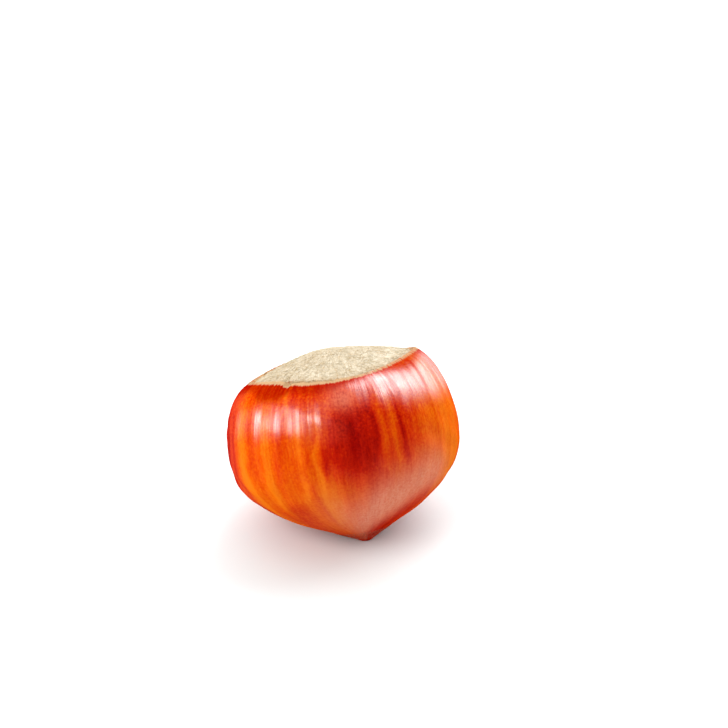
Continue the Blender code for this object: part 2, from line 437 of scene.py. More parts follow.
SHEEN_AND_BLOOM_SIDE = (282, 39)
BLOOM_EVERYWHERE = 0.09
SHEEN_AND_BLOOM_ON_SIDE = 0.83
SHEEN_AND_BLOOM_TOP_MM = 4.7
SHEEN_AND_BLOOM_TOP_DRIFT_MM = 0.9
SHEEN_SIDE_RISE_MM = 2.6
SHEEN_AND_BLOOM_TOP_CHANGES = [
    # turn and half width in degrees, how much higher the bloom and sheen reach there in mm
    (255, 13, -2.0),
    (302, 16, 1.3),
]
SHEEN_AND_BLOOM_TOP_FADE_MM = 0.75
# Painted shade: under this line the shell is darker, at the point and, from 255 degrees round, along the
# lower right edge that faces the shaded table. The bloom and sheen stop at the same line.
SHADE_TOP_BLOOM_FOOT_MM = 0.8
SHADE_TOP_RISE_MM = 4.2
SHADE_RISE_FROM = math.radians(255)
SHADE_RISE_OVER = math.radians(45)
SHEEN_AND_BLOOM_FOOT_FADE_MM = 0.55
MATT_AND_SHEEN_PATCHES = [
    # turn and half width in degrees, middle and half height in mm, squareness, share of full bloom and
    # sheen
    # a pale patch under the rim: a painted reflection of light from above, over a matt stipple
    (256, 8, 15.2, 1.0, 2, 0.48),
    (243, 12, 12.8, 1.5, 4, 0.05),
]
# Painted sheen: a pale line along the left edge, where the surface is seen edge on.
LEFT_EDGE = (180, 9)
LEFT_EDGE_PAINTED_SHEEN = 0.07
POINT_AND_EDGE_PAINTED_SHADE = 0.32
POINT_FADE_MM = 0.5

WORN_POLISH = 0.015
PATCH_POWER = 6
PATCH_FOOT_FADE_MM = 0.35
PATCH_TOP_FADE_MM = 0.3
TORN_MM = 0.04
TORN_PLACES = [
    # turn and half width in degrees, how much further the torn edge reaches down in mm
    (226, 27, 0.20),
    (243, 20, 0.16),
]

height_mm = nut_height * 1000
from_rim_mm = np.interp(-nut_height, -fine_heights, walked) * 1000
level_line = 0 * nut_angle


def near(turn, spread, power=2):
    """1 at a turn in degrees, down to nothing a little over one spread away, square for high powers."""
    return np.exp(-((turn_from(nut_angle, math.radians(turn)) / math.radians(spread)) ** power))


def under(values, edge, fade):
    """1 where the values are under an edge and 0 over it, with a soft change about it."""
    return 1 / (1 + np.exp((values - edge) / fade))


def over(values, edge, fade):
    """1 where the values are over an edge and 0 under it, with a soft change about it."""
    return 1 / (1 + np.exp((edge - values) / fade))


def streak(turn, top, foot, spread, change):
    """One streak along the shell, soft at its sides and ends, and a little crooked."""
    bends = drift(nut_angle, height_mm * STREAK_CROOK_RATE, seed=int(turn) + STREAK_SEED, turns=(1, 5))
    middle = math.radians(turn) + STREAK_CROOK * bends
    across = np.exp(-((turn_from(nut_angle, middle) / math.radians(spread)) ** 2))
    ends = under(height_mm, top, STREAK_TOP_FADE_MM) * over(height_mm, foot, STREAK_FOOT_FADE_MM)
    return change * across * ends


tone = np.full(len(nut_angle), MEAN_TONE)
for turn, spread, change in BROAD_TONES:
    tone += change * near(turn, spread)
for turn, top, foot, spread, change in FRONT_STREAKS:
    tone += streak(turn, top, foot, spread, change)
# Painted light: lighter low on the shell, for light thrown up from the table.
tone += LOWER_PAINTED_LIGHT * under(height_mm, LOWER_TOP_MM, LOWER_FADE_MM)
draw = np.random.default_rng(101)
for _ in range(HIDDEN_STREAKS):
    turn = draw.uniform(*HIDDEN_TURNS)
    top = draw.uniform(*HIDDEN_TOPS_MM)
    foot = draw.uniform(*HIDDEN_FEET_MM)
    spread = draw.uniform(*HIDDEN_SPREADS)
    tone += streak(turn, top, foot, spread, draw.uniform(*HIDDEN_TONES))

band_reach = BAND_REACH_MM + BAND_DRIFT_MM * drift(nut_angle, level_line, seed=111, turns=(2, 8))
for turn, spread, further in BAND_CHANGES:
    band_reach += further * near(turn, spread, FLAT_TOP)
band_reach += BAND_TOOTH_MM * ridges(nut_angle, BAND_TEETH, BAND_TOOTH_SPREAD, seed=113)
band = under(from_rim_mm, band_reach, BAND_FADE_MM)

# The pale zone: real bloom all round, a painted reflection of the table on the lower right flank, a
# painted reflection under the rim and a painted sheen on the left edge.
sheen_and_bloom_side = near(*SHEEN_AND_BLOOM_SIDE, FLAT_TOP)
sheen_and_bloom_top = SHEEN_AND_BLOOM_TOP_MM + SHEEN_AND_BLOOM_TOP_DRIFT_MM * drift(nut_angle, level_line, seed=121, turns=(2, 7))
sheen_and_bloom_top += SHEEN_SIDE_RISE_MM * sheen_and_bloom_side
for turn, spread, higher in SHEEN_AND_BLOOM_TOP_CHANGES:
    sheen_and_bloom_top += higher * near(turn, spread)
round_the_foot = np.clip(turn_from(nut_angle, SHADE_RISE_FROM) / SHADE_RISE_OVER, 0, 1)
shade_top_and_bloom_foot = SHADE_TOP_BLOOM_FOOT_MM + SHADE_TOP_RISE_MM * round_the_foot
bloom_and_sheen = BLOOM_EVERYWHERE + SHEEN_AND_BLOOM_ON_SIDE * sheen_and_bloom_side
bloom_and_sheen *= under(height_mm, sheen_and_bloom_top, SHEEN_AND_BLOOM_TOP_FADE_MM)
bloom_and_sheen *= over(height_mm, shade_top_and_bloom_foot, SHEEN_AND_BLOOM_FOOT_FADE_MM)
for turn, spread, middle, reach, power, share in MATT_AND_SHEEN_PATCHES:
    patch = near(turn, spread, power) * np.exp(-(((height_mm - middle) / reach) ** power))
    bloom_and_sheen = np.maximum(bloom_and_sheen, share * patch)
# painted sheen along the left edge
bloom_and_sheen = np.maximum(bloom_and_sheen, LEFT_EDGE_PAINTED_SHEEN * near(*LEFT_EDGE) * (1 - band))
# Painted shade: darker at the point and along the lower right edge.
tone -= POINT_AND_EDGE_PAINTED_SHADE * under(height_mm, shade_top_and_bloom_foot, POINT_FADE_MM)

polish = np.full(len(nut_angle), WORN_POLISH)
for turn, spread, highest, lowest, fall, share in POLISHED_PATCHES:
    beside = np.degrees(turn_from(nut_angle, math.radians(turn)))
    patch = near(turn, spread, PATCH_POWER)
    patch *= over(height_mm, lowest - fall * np.minimum(beside, 0), PATCH_FOOT_FADE_MM)
    patch *= under(height_mm, highest, PATCH_TOP_FADE_MM)
    polish = np.maximum(polish, share * patch)
polish *= 1 - band
band *= 1 - BAND_PALED * near(*BAND_PALE_SIDE)
torn = np.full(len(nut_angle), TORN_MM)
for turn, spread, further in TORN_PLACES:
    torn += further * near(turn, spread, FLAT_TOP)

at_pole = nut_radius < WELD
around = np.stack([np.cos(nut_angle), np.sin(nut_angle)], axis=1) * ~at_pole[:, None]
along_mm = np.where(on_scar, -(LIP_INSIDE - nut_radius) * 1000, from_rim_mm)
grain = nut.data.attributes.new("grain", "FLOAT_VECTOR", "POINT")
grain.data.foreach_set("vector", np.column_stack([around, along_mm]).ravel())
layers = {"tone": tone, "band": band, "bloom_and_sheen": bloom_and_sheen, "polish": polish, "torn": torn}
for name, values in layers.items():
    layer = nut.data.attributes.new(name, "FLOAT", "POINT")
    layer.data.foreach_set("value", np.where(on_scar, 0, values).astype(np.float32))


def linear(code):
    """An sRGB hex colour as linear red, green, blue and alpha."""
    parts = [int(code[start : start + 2], 16) / 255 for start in (1, 3, 5)]
    bright = [part / 12.92 if part <= 0.04045 else ((part + 0.055) / 1.055) ** 2.4 for part in parts]
    return (*bright, 1.0)


def add_node(tree, kind, feeds=None, stops=None, **settings):
    """One node with its settings, what feeds its sockets, and a colour ramp's stops."""
    node = tree.nodes.new(kind)
    for name, value in settings.items():
        setattr(node, name, value)
    for socket, value in (feeds or {}).items():
        if isinstance(value, bpy.types.NodeSocket):
            tree.links.new(value, node.inputs[socket])
        else:
            node.inputs[socket].default_value = value
    if stops:
        ramp = node.color_ramp
        ramp.elements.remove(ramp.elements[1])
        ramp.elements[0].position = stops[0][0]
        ramp.elements[0].color = linear(stops[0][1])
        for place, code in stops[1:]:
            ramp.elements.new(place).color = linear(code)
    return node


def new_material(name):
    """A new material with its node tree and its shader."""
    material = bpy.data.materials.new(name)
    material.use_nodes = True
    return material, material.node_tree, material.node_tree.nodes["Principled BSDF"]


# Hazelnut shell: a hard, dry, woody skin with a natural wax on it, worn off in places. The wax gives a
# satin gloss that the ribs break up, over streaks about 1.2 mm, 0.3 mm and 0.15 mm wide, a mottle of
# about 0.9 mm, and a stipple of about 0.23 mm that is strongest under the rim.

SHELL_TONES = [
    (0.00, "#680000"),
    (0.18, "#8c0400"),
    (0.38, "#ac1400"),
    (0.58, "#c03200"),
    (0.78, "#cd4e00"),
    (1.00, "#d76808"),
]
BAND_RED = "#8e0700"
BLOOM_AND_SHEEN_PALE = "#d2866c"
LIP_PALE = "#b89c74"
GIRTH_RADIUS_MM = 11.0
STREAK_WIDTHS_MM = {"broad": 1.2, "fine": 0.3, "hair": 0.15}
STREAK_LENGTHS_MM = {"broad": 10.0, "fine": 4.5, "hair": 1.8}
STIPPLE_PER_METRE = 4300.0
MOTTLE_PER_METRE = 1100.0
# Each swing is how far a pattern moves its value. Each range turns what goes in, along the shell in mm
# or a pattern from 0 to 1, into a share.
TONE_SWINGS = {"broad": 0.34, "fine": 0.24, "hair": 0.16, "mottle": 0.22}
STIPPLE_FADE = {"From Min": 3.0, "From Max": 7.5, "To Min": 0.72, "To Max": 0.36}
BAND_PATCHY = {"From Min": 0.3, "From Max": 0.65, "To Min": 0.6, "To Max": 1.0}
BLOOM_AND_SHEEN_UNEVEN = {"From Min": 0.3, "From Max": 0.7, "To Min": 0.75, "To Max": 1.0}
BLOOM_AND_SHEEN_STIPPLE = 0.9
LIP_RAGGED = {"fine": 0.40, "hair": 0.30}
LIP_FADE = {"From Min": -0.10, "From Max": 0.12, "To Min": 0.85, "To Max": 0.0}
GRAIN_RELIEF = {"hair": 0.6, "stipple": 0.35}
GRAIN_RELIEF_DEPTH = 0.00002
SHELL_ROUGHNESS = 0.34
ROUGHNESS_SWINGS = {"fine": 0.16, "stipple": 0.10}
BLOOM_ROUGHENS = 0.30
WAX_STREAKS = {"fine": 0.5, "hair": 0.6}
WAX_WEAR = {"From Min": 0.38, "From Max": 0.58, "To Min": 0.48, "To Max": 1.0}

shell_material, tree, shader = new_material("satin_nutshell")
grain_at = add_node(tree, "ShaderNodeAttribute", attribute_name="grain").outputs["Vector"]
object_at = add_node(tree, "ShaderNodeTexCoord").outputs["Object"]
noises = {}
for name, width in STREAK_WIDTHS_MM.items():
    around_scale = GIRTH_RADIUS_MM / width
    feeds = {"Vector": grain_at, "Scale": (around_scale, around_scale, 1 / STREAK_LENGTHS_MM[name])}
    stretched = add_node(tree, "ShaderNodeMapping", feeds).outputs["Vector"]
    feeds = {"Vector": stretched, "Scale": 1.0, "Detail": 2.5}
    noises[name] = add_node(tree, "ShaderNodeTexNoise", feeds).outputs["Fac"]
feeds = {"Vector": object_at, "Scale": STIPPLE_PER_METRE, "Detail": 2.0}
noises["stipple"] = add_node(tree, "ShaderNodeTexNoise", feeds).outputs["Fac"]
feeds = {"Vector": object_at, "Scale": MOTTLE_PER_METRE, "Detail": 3.0}
noises["mottle"] = add_node(tree, "ShaderNodeTexNoise", feeds).outputs["Fac"]


def stacked(tree, base, parts):
    """A base value with noises added about their middle, each at its own strength."""
    for source, strength in parts:
        feeds = {0: source, 1: strength, 2: -strength / 2}
        swing = add_node(tree, "ShaderNodeMath", feeds, operation="MULTIPLY_ADD").outputs[0]
        base = add_node(tree, "ShaderNodeMath", {0: base, 1: swing}, operation="ADD").outputs[0]
    return base


tone_at = add_node(tree, "ShaderNodeAttribute", attribute_name="tone").outputs["Fac"]
level = stacked(tree, tone_at, [(noises[name], swing) for name, swing in TONE_SWINGS.items()])
along = add_node(tree, "ShaderNodeSeparateXYZ", {"Vector": grain_at}).outputs["Z"]
grainy = add_node(tree, "ShaderNodeMapRange", {"Value": along, **STIPPLE_FADE}).outputs["Result"]
feeds = {0: noises["stipple"], 1: 0.5}
speckle = add_node(tree, "ShaderNodeMath", feeds, operation="SUBTRACT").outputs[0]
feeds = {0: speckle, 1: grainy, 2: level}
level = add_node(tree, "ShaderNodeMath", feeds, operation="MULTIPLY_ADD").outputs[0]
colour = add_node(tree, "ShaderNodeValToRGB", {"Fac": level}, SHELL_TONES).outputs["Color"]

band_at = add_node(tree, "ShaderNodeAttribute", attribute_name="band").outputs["Fac"]
feeds = {"Value": noises["fine"], **BAND_PATCHY}
patchy = add_node(tree, "ShaderNodeMapRange", feeds).outputs["Result"]
band_share = add_node(tree, "ShaderNodeMath", {0: band_at, 1: patchy}, operation="MULTIPLY").outputs[0]
feeds = {0: band_share, 6: colour, 7: linear(BAND_RED)}
colour = add_node(tree, "ShaderNodeMix", feeds, data_type="RGBA").outputs[2]

# Mixes in the pale colour of the real bloom and of the painted reflections and sheen.
bloom_and_sheen_at = add_node(tree, "ShaderNodeAttribute", attribute_name="bloom_and_sheen").outputs["Fac"]
feeds = {"Value": noises["hair"], **BLOOM_AND_SHEEN_UNEVEN}
uneven_share = add_node(tree, "ShaderNodeMapRange", feeds).outputs["Result"]
uneven_share = stacked(tree, uneven_share, [(noises["stipple"], BLOOM_AND_SHEEN_STIPPLE)])
bloom_and_sheen_share = add_node(tree, "ShaderNodeMath", {0: bloom_and_sheen_at, 1: uneven_share}, operation="MULTIPLY").outputs[0]
feeds = {0: bloom_and_sheen_share, 6: colour, 7: linear(BLOOM_AND_SHEEN_PALE)}
colour = add_node(tree, "ShaderNodeMix", feeds, data_type="RGBA").outputs[2]

torn_at = add_node(tree, "ShaderNodeAttribute", attribute_name="torn").outputs["Fac"]
past_lip = add_node(tree, "ShaderNodeMath", {0: along, 1: torn_at}, operation="SUBTRACT").outputs[0]
ragged = stacked(tree, past_lip, [(noises[name], swing) for name, swing in LIP_RAGGED.items()])
on_lip = add_node(tree, "ShaderNodeMapRange", {"Value": ragged, **LIP_FADE}).outputs["Result"]
feeds = {0: on_lip, 6: colour, 7: linear(LIP_PALE)}
colour = add_node(tree, "ShaderNodeMix", feeds, data_type="RGBA").outputs[2]

relief = stacked(tree, noises["fine"], [(noises[name], swing) for name, swing in GRAIN_RELIEF.items()])
feeds = {"Height": relief, "Strength": 1.0, "Distance": GRAIN_RELIEF_DEPTH}
bumped = add_node(tree, "ShaderNodeBump", feeds).outputs["Normal"]
swings = [(noises[name], swing) for name, swing in ROUGHNESS_SWINGS.items()]
rough = stacked(tree, SHELL_ROUGHNESS, swings)
feeds = {0: bloom_and_sheen_at, 1: BLOOM_ROUGHENS, 2: rough}
rough = add_node(tree, "ShaderNodeMath", feeds, operation="MULTIPLY_ADD").outputs[0]
tree.links.new(colour, shader.inputs["Base Color"])
tree.links.new(rough, shader.inputs["Roughness"])
tree.links.new(bumped, shader.inputs["Normal"])
polish_at = add_node(tree, "ShaderNodeAttribute", attribute_name="polish").outputs["Fac"]
streaky = stacked(tree, noises["broad"], [(noises[name], swing) for name, swing in WAX_STREAKS.items()])
wax = add_node(tree, "ShaderNodeMapRange", {"Value": streaky, **WAX_WEAR}).outputs["Result"]
feeds = {0: polish_at, 1: wax}
polished = add_node(tree, "ShaderNodeMath", feeds, operation="MULTIPLY", use_clamp=True).outputs[0]
tree.links.new(polished, shader.inputs["Coat Weight"])
tree.links.new(bumped, shader.inputs["Coat Normal"])
shader.inputs["IOR"].default_value = 1.5
shader.inputs["Specular IOR Level"].default_value = 0.0
shader.inputs["Coat IOR"].default_value = 3.0
shader.inputs["Coat Roughness"].default_value = 0.27


# The scar: dry, open fibre that was torn from the husk. It is dull, cream on its raised fibres and tan
# between them, with fine fibres about 0.25 mm apart at its edge and a curly felt of about 0.4 mm in its
# middle. It is painted a little paler towards +X: painted light on the side that faces the lamps on the
# right.

SCAR_TONES = [
    (0.20, "#6c563e"),
    (0.40, "#947f60"),
    (0.60, "#ae9d81"),
    (0.80, "#bdb098"),
    (1.00, "#cbc1ad"),
]
SCAR_EDGE_TAN = "#9c7440"
SCAR_FIBRE_MM = 0.25
SCAR_FIBRE_STRETCH = 0.5
FELT_PER_METRE = 2600.0
PATCHES_PER_METRE = 350.0
COMBED_FROM_EDGE = {"From Min": -7.4, "From Max": -4.4, "To Min": 0.0, "To Max": 1.0}
EDGE_TAN_FADE = {"From Min": -1.1, "From Max": -0.35, "To Min": 0.0, "To Max": 0.24}
SCAR_LEVEL = 0.77
SCAR_PAINTED_LIGHT_SIDE = 0.10
STRAND_SWING = 0.45
FELT_SWING = 0.78
PATCH_SWING = 0.45
SCAR_RELIEF_DEPTH = 0.00008
FURROW_FELTED = 0.6

scar_material, tree, shader = new_material("fibrous_scar")
grain_at = add_node(tree, "ShaderNodeAttribute", attribute_name="grain").outputs["Vector"]
object_at = add_node(tree, "ShaderNodeTexCoord").outputs["Object"]
around_scale = SCAR_EDGE * 1000 / SCAR_FIBRE_MM
feeds = {"Vector": grain_at, "Scale": (around_scale, around_scale, SCAR_FIBRE_STRETCH)}
stretched = add_node(tree, "ShaderNodeMapping", feeds).outputs["Vector"]
feeds = {"Vector": stretched, "Scale": 1.0, "Detail": 3.0, "Distortion": 0.4}
strands = add_node(tree, "ShaderNodeTexNoise", feeds).outputs["Fac"]
feeds = {"Vector": object_at, "Scale": FELT_PER_METRE, "Detail": 4.0, "Distortion": 1.2}
felt = add_node(tree, "ShaderNodeTexNoise", feeds).outputs["Fac"]
along = add_node(tree, "ShaderNodeSeparateXYZ", {"Vector": grain_at}).outputs["Z"]
combed = add_node(tree, "ShaderNodeMapRange", {"Value": along, **COMBED_FROM_EDGE}).outputs["Result"]
strands = add_node(tree, "ShaderNodeMath", {0: strands, 1: 0.5}, operation="SUBTRACT").outputs[0]
feeds = {0: strands, 1: combed, 2: 0.5}
strands = add_node(tree, "ShaderNodeMath", feeds, operation="MULTIPLY_ADD").outputs[0]
feeds = {"Vector": object_at, "Scale": PATCHES_PER_METRE, "Detail": 3.0}
patches = add_node(tree, "ShaderNodeTexNoise", feeds).outputs["Fac"]
# Painted light: the scar's outer part is paler towards +X, the side that faces the lamps on the right.
turn_share = add_node(tree, "ShaderNodeSeparateXYZ", {"Vector": grain_at}).outputs["X"]
feeds = {0: turn_share, 1: combed}
outer_turn = add_node(tree, "ShaderNodeMath", feeds, operation="MULTIPLY").outputs[0]
feeds = {0: outer_turn, 1: SCAR_PAINTED_LIGHT_SIDE, 2: SCAR_LEVEL}
scar_painted_light_level = add_node(tree, "ShaderNodeMath", feeds, operation="MULTIPLY_ADD").outputs[0]
level = stacked(tree, scar_painted_light_level, [(strands, STRAND_SWING), (felt, FELT_SWING), (patches, PATCH_SWING)])
colour = add_node(tree, "ShaderNodeValToRGB", {"Fac": level}, SCAR_TONES).outputs["Color"]
near_edge = add_node(tree, "ShaderNodeMapRange", {"Value": along, **EDGE_TAN_FADE}).outputs["Result"]
feeds = {0: near_edge, 6: colour, 7: linear(SCAR_EDGE_TAN)}
colour = add_node(tree, "ShaderNodeMix", feeds, data_type="RGBA").outputs[2]
relief = stacked(tree, strands, [(felt, 1.0)])
feeds = {"Height": relief, "Strength": 1.0, "Distance": SCAR_RELIEF_DEPTH}
bumped = add_node(tree, "ShaderNodeBump", feeds).outputs["Normal"]
tree.links.new(colour, shader.inputs["Base Color"])
tree.links.new(bumped, shader.inputs["Normal"])
shader.inputs["Roughness"].default_value = 0.9
shader.inputs["Specular IOR Level"].default_value = 0.25
shader.inputs["Sheen Weight"].default_value = 0.15

bpy.ops.object.shade_smooth()
nut.data.materials.append(shell_material)
nut.data.materials.append(scar_material)
scar_side = on_scar & (nut_radius < SCAR_EDGE + FURROW_WIDTH * FURROW_FELTED)
for face in nut.data.polygons:
    face.material_index = int(all(scar_side[index] for index in face.vertices))
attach(nut, "root")
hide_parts("hazelnut")


# The loose fibres of the scar: dry strands that tore off the husk and lie on the felt, combed outwards
# near the edge and curled in the middle. They are flat, pale and about 0.04 mm wide.

STRAND_STEPS = 6
STRAND_POINTED = 0.25
SCAR_STRANDS = 2200
SCAR_STRAND_LENGTHS = (0.0006, 0.0020)
SCAR_STRAND_HALF_WIDTH = 0.000022
SCAR_STRAND_LIFTS = (0.00001, 0.00004)
SCAR_STRAND_WIDTHS = (0.6, 1.4)
SCAR_STRAND_TONES = (0.45, 1.0)
SCAR_STRAND_REACH = 0.98
HEADING_SPREAD = 1.6
HEADING_COMBED = 1.3
HEADING_POWER = 1.5
BEND_SPREAD = 1.8
BEND_COMBED = 1.3
LEAST_BEND = 0.01
STRAND_FLATNESS = 0.5
STRAND_SUNK = 0.00002


def strand_bundle(name, count):
    """Pointed three-sided strands along Z, of unit length and radius, one copy on top of the other."""
    bpy.ops.object.select_all(action="DESELECT")
    bpy.ops.mesh.primitive_cone_add(
        vertices=3,
        radius1=1,
        radius2=STRAND_POINTED,
        depth=1,
        location=(0, 0, 0.5),
        end_fill_type="TRIFAN",
    )
    piece = bpy.context.object
    piece.name = name
    bpy.ops.object.transform_apply(location=True, rotation=True, scale=True)
    bpy.ops.object.mode_set(mode="EDIT")
    for step in range(1, STRAND_STEPS):
        bpy.ops.mesh.select_all(action="SELECT")
        bpy.ops.mesh.bisect(plane_co=(0, 0, step / STRAND_STEPS), plane_no=(0, 0, 1))
    bpy.ops.object.mode_set(mode="OBJECT")
    bpy.ops.object.shade_smooth()
    copies = piece.modifiers.new("Copies", "ARRAY")
    copies.count = count
    copies.use_relative_offset = False
    bpy.ops.object.modifier_apply(modifier="Copies")
    return piece


def lay_strands(piece, surface, side, normal, half_width, lift, tones):
    """Puts each copy along its own path, given by (copies, points, 3) arrays, inside the solid's box."""
    unit = read_points(piece.data).reshape(surface.shape)
    across = unit[:, :, 0, None] * half_width[:, None, None] * side
    arch = np.sin(math.pi * unit[:, :, 2])
    rise = lift[:, None] * arch - STRAND_SUNK * (1 - arch)
    up = (unit[:, :, 1] * half_width[:, None] * STRAND_FLATNESS + rise)[:, :, None] * normal
    placed = (surface + across + up).reshape(-1, 3) @ lay_down.T + shift
    placed = np.clip(placed, np.array(cad_box[0]), np.array(cad_box[1]))
    write_points(piece.data, placed)
    layer = piece.data.attributes.new("strand_tone", "FLOAT", "POINT")
    layer.data.foreach_set("value", np.repeat(tones, surface.shape[1]).astype(np.float32))


def raised_paths(radius, angle, height, on_scar):
    """The relief's surface under paths, each given as (copies, points) arrays."""
    flat = raised(radius.ravel(), angle.ravel(), height.ravel(), on_scar.ravel())
    return flat.reshape(*radius.shape, 3)


scar_fibres = strand_bundle("scar_fibres", SCAR_STRANDS)
share = read_points(scar_fibres.data).reshape(SCAR_STRANDS, -1, 3)[:, :, 2]
draw = np.random.default_rng(201)
start_angle = draw.uniform(0, math.tau, (SCAR_STRANDS, 1))
start_radius = SCAR_EDGE * np.sqrt(draw.uniform(0.0, SCAR_STRAND_REACH, (SCAR_STRANDS, 1)))
out_share = start_radius / SCAR_EDGE
length = draw.uniform(*SCAR_STRAND_LENGTHS, (SCAR_STRANDS, 1))
stray = HEADING_SPREAD - HEADING_COMBED * out_share**HEADING_POWER
heading = start_angle + draw.normal(0, 1, (SCAR_STRANDS, 1)) * stray
curl = BEND_SPREAD - BEND_COMBED * out_share
bend = draw.normal(0, 1, (SCAR_STRANDS, 1)) * curl + LEAST_BEND
ahead = heading + bend * share
x = start_radius * np.cos(start_angle) + length * (np.sin(ahead) - np.sin(heading)) / bend
y = start_radius * np.sin(start_angle) - length * (np.cos(ahead) - np.cos(heading)) / bend
strand_radius = np.minimum(np.hypot(x, y), SCAR_EDGE)
strand_angle = np.arctan2(y, x)
strand_height = RIM_HEIGHT + SCAR_DOME * (1 - (strand_radius / SCAR_EDGE) ** DOME_POWER)
surface = raised_paths(strand_radius, strand_angle, strand_height, np.full(x.shape, True))
side = np.stack([-np.sin(ahead), np.cos(ahead), 0 * share], axis=2)
lay_strands(
    scar_fibres,
    surface,
    side,
    np.array([0, 0, 1.0]),
    SCAR_STRAND_HALF_WIDTH * draw.uniform(*SCAR_STRAND_WIDTHS, SCAR_STRANDS),
    draw.uniform(*SCAR_STRAND_LIFTS, SCAR_STRANDS),
    draw.uniform(*SCAR_STRAND_TONES, SCAR_STRANDS),
)

# Dry plant fibre: matt and pale, each strand a little lighter or darker than the next.

STRAND_TONES = [
    (0.0, "#a5703c"),
    (0.35, "#b9986a"),
    (0.70, "#c0b090"),
    (1.0, "#d0c6ad"),
]
FLECK_SWING = 0.4

fibre_material, tree, shader = new_material("dry_fibre")
strand_tone = add_node(tree, "ShaderNodeAttribute", attribute_name="strand_tone").outputs["Fac"]
object_at = add_node(tree, "ShaderNodeTexCoord").outputs["Object"]
feeds = {"Vector": object_at, "Scale": FELT_PER_METRE, "Detail": 2.0}
flecks = add_node(tree, "ShaderNodeTexNoise", feeds).outputs["Fac"]
level = stacked(tree, strand_tone, [(flecks, FLECK_SWING)])
colour = add_node(tree, "ShaderNodeValToRGB", {"Fac": level}, STRAND_TONES).outputs["Color"]
tree.links.new(colour, shader.inputs["Base Color"])
shader.inputs["Roughness"].default_value = 0.85
shader.inputs["Specular IOR Level"].default_value = 0.2
scar_fibres.data.materials.append(fibre_material)
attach(scar_fibres, "root")


# The torn edge: short strips of dry fibre that stayed on the lip where the husk let go. They lie over it
# and at most 0.2 mm down the shell, more than half of them on the side where the rim is split.

RIM_STRANDS = 420
RIM_STRAND_LENGTHS = (0.00012, 0.00038)
RIM_STRAND_HALF_WIDTH = 0.000021
RIM_STRAND_LIFTS = (0.00001, 0.00004)
RIM_STRAND_STARTS = (-0.00046, -0.00018)
RIM_STRAND_SLANT = 0.03
RIM_STRAND_WIDTHS = (0.6, 1.5)
RIM_STRAND_TONES = (0.2, 0.9)
FRAYED_SHARE = 0.55
FRAYED_TURNS = (math.radians(223), math.radians(252))
SLOPE_STEP = 0.00002

outline = np.array(nut_outline())
outline_walk = np.concatenate([[0], np.cumsum(np.hypot(*np.diff(outline, axis=0).T))])
rim_walk = outline_walk[DOME_RINGS + EDGE_RINGS]


def along_outline(walk, angle):
    """Surface, side and outward normal of paths down the nut's side, walk metres from the rim."""
    radius = np.interp(walk + rim_walk, outline_walk, outline[:, 0])
    height = np.interp(walk + rim_walk, outline_walk, outline[:, 1])
    out = np.interp(walk + SLOPE_STEP + rim_walk, outline_walk, outline[:, 0]) - radius
    down = np.interp(walk + SLOPE_STEP + rim_walk, outline_walk, outline[:, 1]) - height
    size = np.hypot(out, down) + 1e-12
    normal = np.stack([-down * np.cos(angle), -down * np.sin(angle), out], axis=2) / size[:, :, None]
    side = np.stack([-np.sin(angle), np.cos(angle), 0 * angle], axis=2)
    inside = (radius < LIP_INSIDE) & (height > RIM_HEIGHT - 2 * FURROW_DEPTH)
    return raised_paths(radius, angle, height, inside), side, normal


rim_fibres = strand_bundle("rim_fibres", RIM_STRANDS)
share = read_points(rim_fibres.data).reshape(RIM_STRANDS, -1, 3)[:, :, 2]
draw = np.random.default_rng(211)
frayed = draw.uniform(0, 1, (RIM_STRANDS, 1)) < FRAYED_SHARE
start_angle = np.where(
    frayed, draw.uniform(*FRAYED_TURNS, (RIM_STRANDS, 1)), draw.uniform(0, math.tau, (RIM_STRANDS, 1))
)
length = draw.uniform(*RIM_STRAND_LENGTHS, (RIM_STRANDS, 1))
walk = draw.uniform(*RIM_STRAND_STARTS, (RIM_STRANDS, 1)) + length * share
strand_angle = start_angle + draw.normal(0, RIM_STRAND_SLANT, (RIM_STRANDS, 1)) * share
surface, side, normal = along_outline(walk, strand_angle)
lay_strands(
    rim_fibres,
    surface,
    side,
    normal,
    RIM_STRAND_HALF_WIDTH * draw.uniform(*RIM_STRAND_WIDTHS, RIM_STRANDS),
    draw.uniform(*RIM_STRAND_LIFTS, RIM_STRANDS),
    draw.uniform(*RIM_STRAND_TONES, RIM_STRANDS),
)
rim_fibres.data.materials.append(fibre_material)
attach(rim_fibres, "root")


# The down on the point: soft hairs a quarter of a millimetre long, as grown, that lie towards the tip.
# They give the last few millimetres of the shell their dull, powdery look. The quarter of the turn that
# the nut lies on is bare, and the few hairs that still reach under it are pressed flat.

DOWN_HAIRS = 1950
DOWN_TURNS = (math.radians(135), math.radians(405))
DOWN_LENGTHS = (0.00012, 0.00032)
DOWN_HALF_WIDTH = 0.000011
DOWN_LIFTS = (0.00001, 0.00004)
DOWN_REACH = 0.0032
DOWN_NEAREST = 0.15
TIP_MARGIN = 0.00004
DOWN_SLANT = 0.02
DOWN_WIDTHS = (0.7, 1.3)

